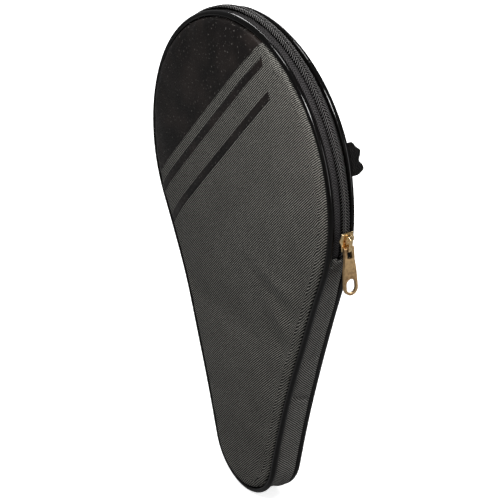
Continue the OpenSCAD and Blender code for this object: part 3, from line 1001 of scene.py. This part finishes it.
def metal(name, low, high, rough_low, rough_high, scratch=0.0):
    """Cast or stamped brass: uneven tone, fine wear, dull and bright patches."""
    paint = Paint(name)
    place = paint.place()
    brushed = paint.noise(paint.scaled(place, (1.0, 1.0, 0.12)), 3.5, 3.0)
    drift = paint.noise(place, 0.7, 4.0)
    edge = paint.node("ShaderNodeNewGeometry").outputs["Pointiness"]
    worn = paint.range(edge, 0.50, 0.56)
    worn = paint.times(worn, 0.6)
    share = paint.math("ADD", paint.range(drift, 0.3, 0.7, 0.0, 0.6), worn, clamp=True)
    colour = paint.mix(share, low, high)
    rough = paint.range(drift, 0.3, 0.7, rough_low, rough_high)
    height = paint.plus(paint.times(brushed, scratch), paint.times(drift, 0.3))
    return paint.finish(Base_Color=colour, Metallic=1.0, Roughness=rough,
                        Normal=paint.bump(height, 0.3, 0.06))


def foam_material(name):
    paint = Paint(name)
    place = paint.place()
    cells = paint.node("ShaderNodeTexVoronoi", {"Vector": place, "Scale": 1.6}).outputs["Distance"]
    colour = paint.mix(paint.range(cells, 0.0, 0.6), (0.14, 0.14, 0.135), (0.34, 0.34, 0.33))
    return paint.finish(Base_Color=colour, Roughness=0.95, Normal=paint.bump(cells, 0.8, 0.3))


def thread_material(name, low, high):
    paint = Paint(name)
    place = paint.place()
    twist = paint.noise(place, 2.2, 2.0)
    colour = paint.mix(paint.range(twist, 0.3, 0.7), low, high)
    return paint.finish(Base_Color=colour, Roughness=0.55, Specular_IOR_Level=0.4,
                        Normal=paint.bump(twist, 0.5, 0.08))


def across_fold(piece):
    """Bakes the piece's place into its mesh; used for the front's pieces."""
    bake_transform(piece)


def on_case(piece):
    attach(piece, "case")


def fit(piece, place, material, nodes=()):
    """Gives a piece its bodies and its material, and hides the CAD nodes it replaces."""
    place(piece)
    piece.data.materials.clear()
    piece.data.materials.append(material)
    if nodes:
        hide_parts(*nodes)


# -------- the case

FRONT_DARK, FRONT_LIGHT = (0.004, 0.0039, 0.0036), (0.24, 0.232, 0.208)
# COIL_DARK is the nylon's black, deepened as painted shade low between the turns; the second colour is a
# painted highlight along each crest
COIL_DARK, COIL_PAINTED_GLINT = (0.0006,) * 3, (0.105, 0.101, 0.099)
TWILL_PITCH = 1.13
front_twill = twill("front_twill", FRONT_DARK, FRONT_LIGHT, TWILL_PITCH, TWILL_LEAN)
back_twill = twill("back_twill", FRONT_DARK, FRONT_LIGHT, TWILL_PITCH, -TWILL_LEAN)
band_twill = twill("band_twill", (0.020, 0.0195, 0.0183), (0.215, 0.209, 0.196), TWILL_PITCH, -1.0)
black_print = printed("black_print")
lining_cloth = twill("lining_cloth", (0.008, 0.008, 0.009), (0.07, 0.07, 0.074), 0.8, 1.0, 0.4, 0.55)
binding_tape = ribbed("binding_tape", (0.006, 0.006, 0.007), (0.03, 0.03, 0.033), 0.9, 2.0)
tape_cloth = ribbed("tape_cloth", grey(0.002), (0.055, 0.052, 0.053), 1.5, 1.3)
webbing_cloth = ribbed("webbing_cloth", grey(0.0005), (0.016, 0.0155, 0.015), 1.7, 1.5, 1.02)
piping_vinyl = vinyl("piping_vinyl", (0.0010, 0.0009, 0.0008), (0.0022, 0.0020, 0.0019), 0.08, 0.14, 0.19)
front_nylon = nylon("front_coil_nylon", COIL_DARK, COIL_PAINTED_GLINT, 0.0)
back_nylon = nylon("back_coil_nylon", COIL_DARK, COIL_PAINTED_GLINT, 0.5)
coil_sewing = thread_material("coil_sewing", grey(0.002), grey(0.012))
hem_sewing = thread_material("hem_sewing", (0.25, 0.25, 0.24), (0.5, 0.5, 0.48))
cord_fibre = thread_material("cord_fibre", (0.45, 0.43, 0.38), (0.7, 0.68, 0.62))
foam_cells = foam_material("foam_cells")
slider_brass = metal("slider_brass", (0.70, 0.44, 0.17), (1.0, 0.84, 0.54), 0.14, 0.28)
puller_brass = metal("puller_brass", (0.28, 0.16, 0.08), (0.60, 0.405, 0.205), 0.30, 0.46, 0.6)


def build_panel(side, label, place, panel_nodes, lead_nodes):
    """One padded panel: foam and lining, and the cover, which is returned as an open sheet."""
    cover = cover_sheet(label + "_cover", side)
    foam = foam_block(label + "_padding", cover, side)
    subdivided(cover)
    lining = lining_sheet(label + "_lining_cloth", side)
    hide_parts(*panel_nodes)
    fit(foam, place, foam_cells, [node + "_foam" for node in lead_nodes])
    fit(lining, place, lining_cloth, [node + "_lining" for node in lead_nodes])
    return cover


def build_front():
    cover = build_panel(-1, "front", across_fold, ("lower_front_panel", "flap_front_panel"),
                        ("lower_front", "flap"))
    for k, (low, high) in enumerate(PRINT_BANDS):
        band = print_band("print_band_%d" % (k + 1), cover, low, high)
        fit(band, across_fold, black_print)
    fit(thickened(cover, FABRIC_T), across_fold, front_twill)


def build_back():
    cover = build_panel(1, "back", on_case, ("back_panel",), ("back",))
    fit(thickened(cover, FABRIC_T), on_case, back_twill)


def build_seams():
    for side, label, place, leads in ((-1, "front", across_fold, ("lower_front", "flap")),
                                      (1, "back", on_case, ("back",))):
        for make, part, node, material, slot in (
                (piping, "_piping_sleeve", "_piping", piping_vinyl, "piping"),
                (piping_cord, "_cord", "_piping_cord", cord_fibre, "cord"),
                (seam_binding, "_binding", "_seam_binding", binding_tape, "binding")):
            fit(make(label + part, side), place, material, [lead + node for lead in leads])


def build_band():
    fit(side_band(), on_case, band_twill, ["side_band"])
    fit(side_band_lining(), on_case, lining_cloth, ["side_band_lining"])
    fit(hem_stitches(), on_case, hem_sewing)


def build_zip():
    for side, label, place, coil_nylon in ((-1, "front", across_fold, front_nylon),
                                           (1, "back", on_case, back_nylon)):
        fit(zip_tape(label + "_zip_tape", side), place, tape_cloth, ["zip_tape_" + label])
        fit(coil(label + "_zip_coil", side), place, coil_nylon, ["zip_coil_" + label])
        fit(coil_thread(label + "_coil_sewing", side), place, coil_sewing)


def on_slider(piece):
    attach(piece, "slider")


def build_slider():
    fit(slider_piece(), on_slider, slider_brass, ["slider_body"])


def finish_puller():
    """The puller keeps its CAD shape; its edges are rounded and it gets its metal."""
    puller = frame["nodes"]["puller"]
    weld = puller.modifiers.new("weld", "WELD")
    weld.merge_threshold = 0.001 * MM
    bevel = puller.modifiers.new("rounded_edges", "BEVEL")
    bevel.width = 0.28 * MM
    bevel.segments = 3
    bevel.angle_limit = math.radians(35)
    puller.data.materials.clear()
    puller.data.materials.append(puller_brass)


def from_seam(piece):
    """Bakes the piece's place into its mesh; used for the hang loop."""
    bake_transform(piece)


def build_loop():
    fit(hang_loop(), from_seam, webbing_cloth, ["hang_loop", "loop_ends"])


build_front()
build_back()
build_seams()
build_band()
build_zip()
build_slider()
finish_puller()
build_loop()


# -------- floor, light and camera

# The floor's own light, seen only by the camera, evens out its falloff to white
FLOOR_GLOW = 0.75


def build_floor():
    bpy.ops.mesh.primitive_plane_add(size=6, location=(0, 0, -0.0005))
    floor = bpy.context.object
    floor.name = "floor"
    paint = Paint("pale_floor")
    tone = paint.mix(paint.noise(paint.place(), 0.004), grey(0.88), grey(0.92))
    seen = paint.node("ShaderNodeLightPath").outputs["Is Camera Ray"]
    colour = paint.mix(seen, grey(0.30), tone)
    floor.data.materials.append(paint.finish(
        Base_Color=colour, Roughness=0.95, Specular_IOR_Level=0.0,
        Emission_Color=grey(1.0), Emission_Strength=paint.times(seen, FLOOR_GLOW)))


def build_world():
    """White to the camera, and a softer grey for the light it gives."""
    world = bpy.data.worlds.new("studio")
    world.use_nodes = True
    scene.world = world
    tree = world.node_tree
    background = tree.nodes["Background"]
    seen = tree.nodes.new("ShaderNodeBackground")
    seen.inputs[0].default_value = (1, 1, 1, 1)
    background.inputs[0].default_value = (0.97, 0.98, 1.0, 1)
    background.inputs[1].default_value = 0.22
    ray = tree.nodes.new("ShaderNodeLightPath")
    mix = tree.nodes.new("ShaderNodeMixShader")
    tree.links.new(ray.outputs["Is Camera Ray"], mix.inputs[0])
    tree.links.new(background.outputs[0], mix.inputs[1])
    tree.links.new(seen.outputs[0], mix.inputs[2])
    tree.links.new(mix.outputs[0], tree.nodes["World Output"].inputs[0])


def softbox(name, place, target, size, power):
    """A soft lamp that the camera doesn't see; places and sizes in metres, power in watts."""
    light = bpy.data.lights.new(name, "AREA")
    light.shape = "RECTANGLE"
    light.size, light.size_y = size
    light.energy = power
    lamp = linked(name, light)
    lamp.location = place
    lamp.visible_camera = False
    lamp.rotation_euler = (Vector(target) - Vector(place)).to_track_quat("-Z", "Y").to_euler()


def build_camera():
    """The camera stands right of the front, looks slightly down and leans a little."""
    yaw, pitch, roll = math.radians(57.6), math.radians(23.115), math.radians(-1.807)
    distance, shift_right, shift_up = 1117.3, -0.80, 0.79
    forward = Vector((-math.sin(yaw) * math.cos(pitch), math.cos(yaw) * math.cos(pitch), -math.sin(pitch)))
    level = Vector((math.cos(yaw), math.sin(yaw), 0))
    upright = level.cross(forward)
    right = level * math.cos(roll) + upright * math.sin(roll)
    up = upright * math.cos(roll) - level * math.sin(roll)
    target = Vector((0, 0, HEAD_Z - 50))
    camera = bpy.data.cameras.new("camera")
    camera.lens = 140.18
    camera.sensor_width = 36
    holder = linked("camera", camera)
    rotation = holder.matrix_world.to_3x3()
    rotation.col[0], rotation.col[1], rotation.col[2] = right, up, -forward
    place = target + right * shift_right + up * shift_up - forward * distance
    holder.matrix_world = rotation.to_4x4()
    holder.location = place * MM
    scene.camera = holder


build_floor()
build_world()
MIDDLE = (0, 0, 0.15)
softbox("key", (0.75, -1.0, 0.8), MIDDLE, (0.5, 0.5), 1.0)
softbox("near", (0.24, -0.20, 0.50), (0.05, 0, 0.2), (0.10, 0.10), 1.75)
softbox("side", (1.3, 0.25, 0.45), MIDDLE, (0.4, 0.8), 6.5)
softbox("top", (0.0, -0.1, 1.35), MIDDLE, (0.3, 0.3), 8)
softbox("back", (-1.0, 1.0, 0.8), MIDDLE, (0.7, 0.7), 14)
build_camera()
scene.view_settings.view_transform = "Standard"
